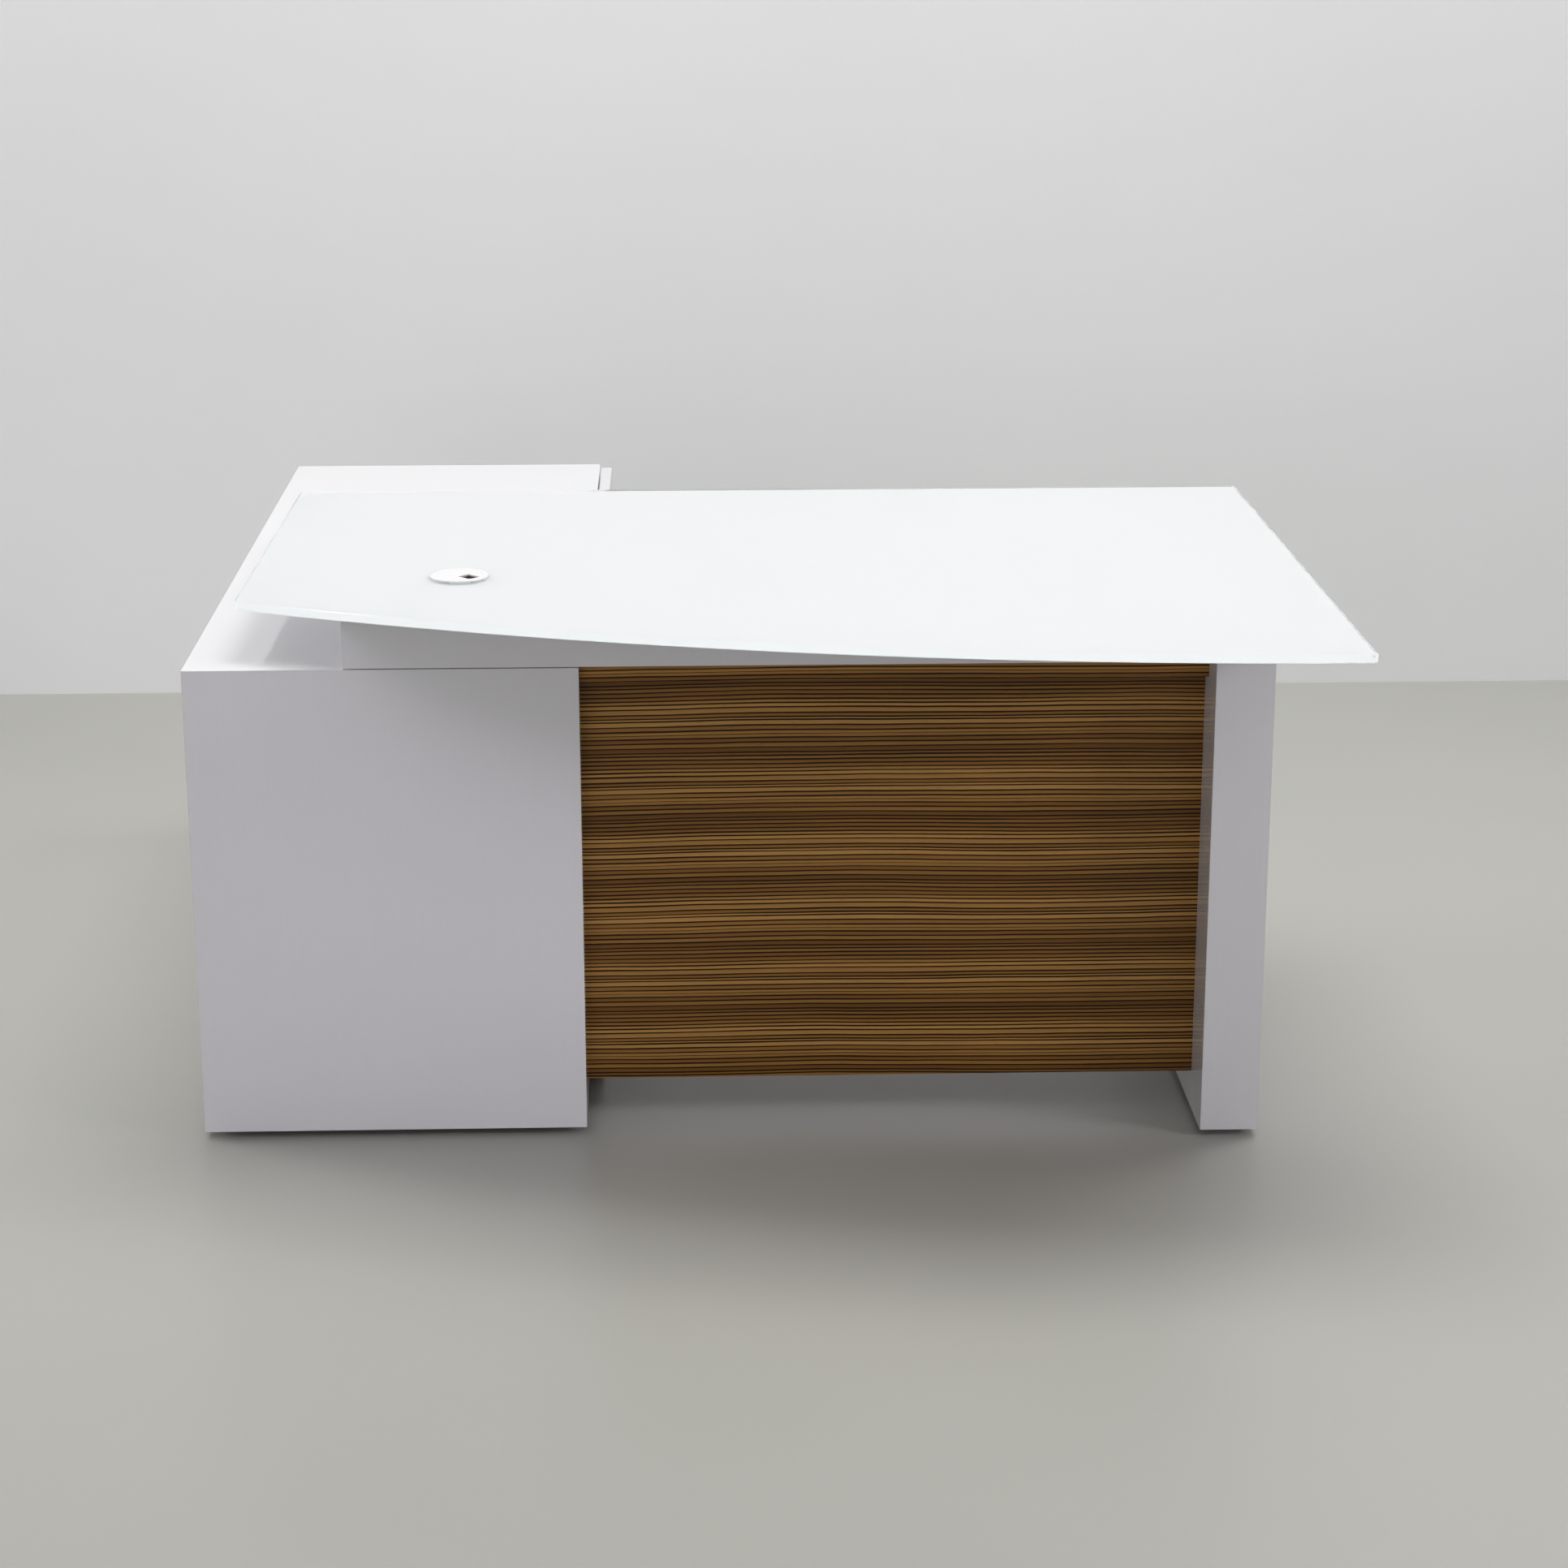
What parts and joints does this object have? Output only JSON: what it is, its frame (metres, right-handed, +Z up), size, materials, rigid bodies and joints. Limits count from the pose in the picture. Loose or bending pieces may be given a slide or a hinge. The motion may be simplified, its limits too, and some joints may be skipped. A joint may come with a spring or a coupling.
{
  "type": "executive desk",
  "caption": "L-shaped executive desk: bowed white glass top over a long storage cabinet with drawers and doors, box leg, zebrano modesty panel and cable grommet.",
  "frame": {"origin": "on the floor under the middle of the desk's plan box", "axes": "+Z up from the floor; +Y from the visitor's side to the user's side, along the cabinet; +X from the cabinet to the leg"},
  "size_m": [1.546, 1.76, 0.753],
  "materials": {
    "white_laminate": "smooth glossy white laminate on particle board",
    "drawer_board": "light grey melamine",
    "zebrano": "zebrano laminate, fine dark stripes running level, satin",
    "zinc_steel": "zinc-plated steel",
    "handle_aluminium": "satin anodised",
    "white_glass": "white back-painted glass, polished clear edge",
    "clear_pad": "clear soft pad",
    "foot_chrome": "polished levelling foot",
    "white_plastic": "moulded white plastic"
  },
  "bodies": {
    "desk": {"credenza_top": "white_laminate", "credenza_front_end": "white_laminate", "credenza_rear_end": "white_laminate", "credenza_outer_side": "white_laminate", "credenza_bottom": "white_laminate", "knee_filler": "white_laminate", "partition_front": "white_laminate", "partition_mid": "white_laminate", "partition_rear": "white_laminate", "shelf_front": "white_laminate", "shelf_rear": "white_laminate", "leg_front": "white_laminate", "leg_inner": "white_laminate", "leg_outer": "white_laminate", "leg_rear": "white_laminate", "leg_blocks": "white_laminate", "apron_front": "white_laminate", "apron_rear": "white_laminate", "apron_cross_rails": "white_laminate", "modesty_rail": "zebrano", "modesty_panel": "zebrano", "shelf_pins": "zinc_steel", "cam_connectors": "zinc_steel", "corner_brackets": "zinc_steel", "bracket_screws": "zinc_steel", "foot_studs": "zinc_steel", "runner_cabinet_members": "zinc_steel", "hinge_arms": "zinc_steel", "hinge_screws": "zinc_steel", "glass_top": "white_glass", "glass_pads": "clear_pad", "foot_pads": "foot_chrome", "grommet_liner": "white_plastic"},
    "grommet_cap": {"grommet_cap": "white_plastic"},
    "drawer_top": {"drawer_top_front": "white_laminate", "drawer_top_box": "drawer_board", "drawer_top_bottom": "drawer_board", "drawer_top_handle": "handle_aluminium", "drawer_top_runner_drawer": "zinc_steel"},
    "drawer_top_runner_middle": {"drawer_top_runner_middle": "zinc_steel"},
    "drawer_middle": {"drawer_middle_front": "white_laminate", "drawer_middle_box": "drawer_board", "drawer_middle_bottom": "drawer_board", "drawer_middle_handle": "handle_aluminium", "drawer_middle_runner_drawer": "zinc_steel"},
    "drawer_middle_runner_middle": {"drawer_middle_runner_middle": "zinc_steel"},
    "drawer_file": {"drawer_file_front": "white_laminate", "drawer_file_box": "drawer_board", "drawer_file_bottom": "drawer_board", "drawer_file_handle": "handle_aluminium", "drawer_file_runner_drawer": "zinc_steel", "drawer_file_rails": "zinc_steel"},
    "drawer_file_runner_middle": {"drawer_file_runner_middle": "zinc_steel"},
    "door_front": {"door_front_panel": "white_laminate", "door_front_hinge_pots": "zinc_steel", "door_front_handle": "handle_aluminium"},
    "door_rear": {"door_rear_panel": "white_laminate", "door_rear_hinge_pots": "zinc_steel", "door_rear_handle": "handle_aluminium"}
  },
  "joints": [
    {"name": "drawer_top_slide", "type": "slide", "parent": "desk", "child": "drawer_top", "axis": [1, 0, 0], "range_m": [0, 0.4]},
    {"name": "drawer_top_runner_slide", "type": "slide", "parent": "desk", "child": "drawer_top_runner_middle", "axis": [1, 0, 0], "range_m": [0, 0.2]},
    {"name": "drawer_middle_slide", "type": "slide", "parent": "desk", "child": "drawer_middle", "axis": [1, 0, 0], "range_m": [0, 0.4]},
    {"name": "drawer_middle_runner_slide", "type": "slide", "parent": "desk", "child": "drawer_middle_runner_middle", "axis": [1, 0, 0], "range_m": [0, 0.2]},
    {"name": "drawer_file_slide", "type": "slide", "parent": "desk", "child": "drawer_file", "axis": [1, 0, 0], "range_m": [0, 0.4]},
    {"name": "drawer_file_runner_slide", "type": "slide", "parent": "desk", "child": "drawer_file_runner_middle", "axis": [1, 0, 0], "range_m": [0, 0.2]},
    {"name": "door_front_hinge", "type": "hinge", "parent": "desk", "child": "door_front", "pos_m": [-0.2315, -0.3765, 0.338], "axis": [0, 0, -1], "range_deg": [0, 95]},
    {"name": "door_rear_hinge", "type": "hinge", "parent": "desk", "child": "door_rear", "pos_m": [-0.2315, 0.8725, 0.338], "axis": [0, 0, 1], "range_deg": [0, 95]},
    {"name": "grommet_cap_turn", "type": "hinge", "parent": "desk", "child": "grommet_cap", "pos_m": [-0.412, -0.386, 0.751], "axis": [0, 0, 1], "continuous": true}
  ],
  "couplings": [
    {"joint": "drawer_top_runner_slide", "follows": "drawer_top_slide", "ratio": 0.5},
    {"joint": "drawer_middle_runner_slide", "follows": "drawer_middle_slide", "ratio": 0.5},
    {"joint": "drawer_file_runner_slide", "follows": "drawer_file_slide", "ratio": 0.5}
  ]
}
